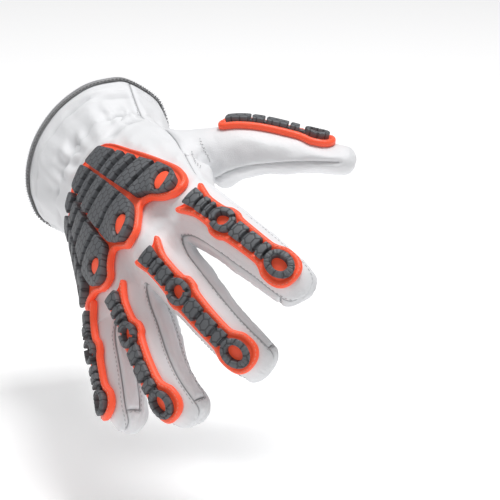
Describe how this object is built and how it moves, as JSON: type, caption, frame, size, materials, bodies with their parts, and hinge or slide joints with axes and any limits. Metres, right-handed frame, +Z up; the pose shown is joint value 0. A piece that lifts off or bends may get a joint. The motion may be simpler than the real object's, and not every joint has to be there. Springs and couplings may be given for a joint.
{
  "type": "impact work glove",
  "caption": "Leather work glove for the right hand with a flared cuff and two-colour moulded rubber guards over the knuckles, fingers and thumb",
  "frame": {"origin": "the centre of the cuff's opening, where a wrist goes in", "axes": "+X from the cuff's opening toward the fingertips along the cuff's axis, +Z up as the glove is held in the picture, with the thumb on the +Y side and raised"},
  "size_m": [0.2592, 0.1696, 0.153],
  "materials": {
    "leather": "soft white grain leather with a low sheen",
    "binding": "matt grey overlocked edge binding",
    "guard_red": "satin bright red-orange moulded rubber",
    "guard_grey": "satin dark grey moulded rubber"
  },
  "bodies": {
    "root": {"back_leather": "leather", "palm_leather": "leather", "thumb_leather": "leather", "middle_front": "leather", "ring_front": "leather", "fourchette_index_middle": "leather", "fourchette_middle_ring": "leather", "fourchette_ring_little": "leather", "cuff_binding": "binding", "knuckle_guard_base": "guard_red", "index_guard_base": "guard_red", "middle_guard_base": "guard_red", "ring_guard_base": "guard_red", "little_guard_base": "guard_red", "thumb_guard_base": "guard_red", "knuckle_lobe_index": "guard_grey", "knuckle_lobe_middle": "guard_grey", "knuckle_lobe_ring": "guard_grey", "knuckle_lobe_little": "guard_grey", "index_guard_tread": "guard_grey", "middle_guard_tread": "guard_grey", "ring_guard_tread": "guard_grey", "little_guard_tread": "guard_grey", "thumb_guard_tread": "guard_grey"}
  },
  "joints": []
}
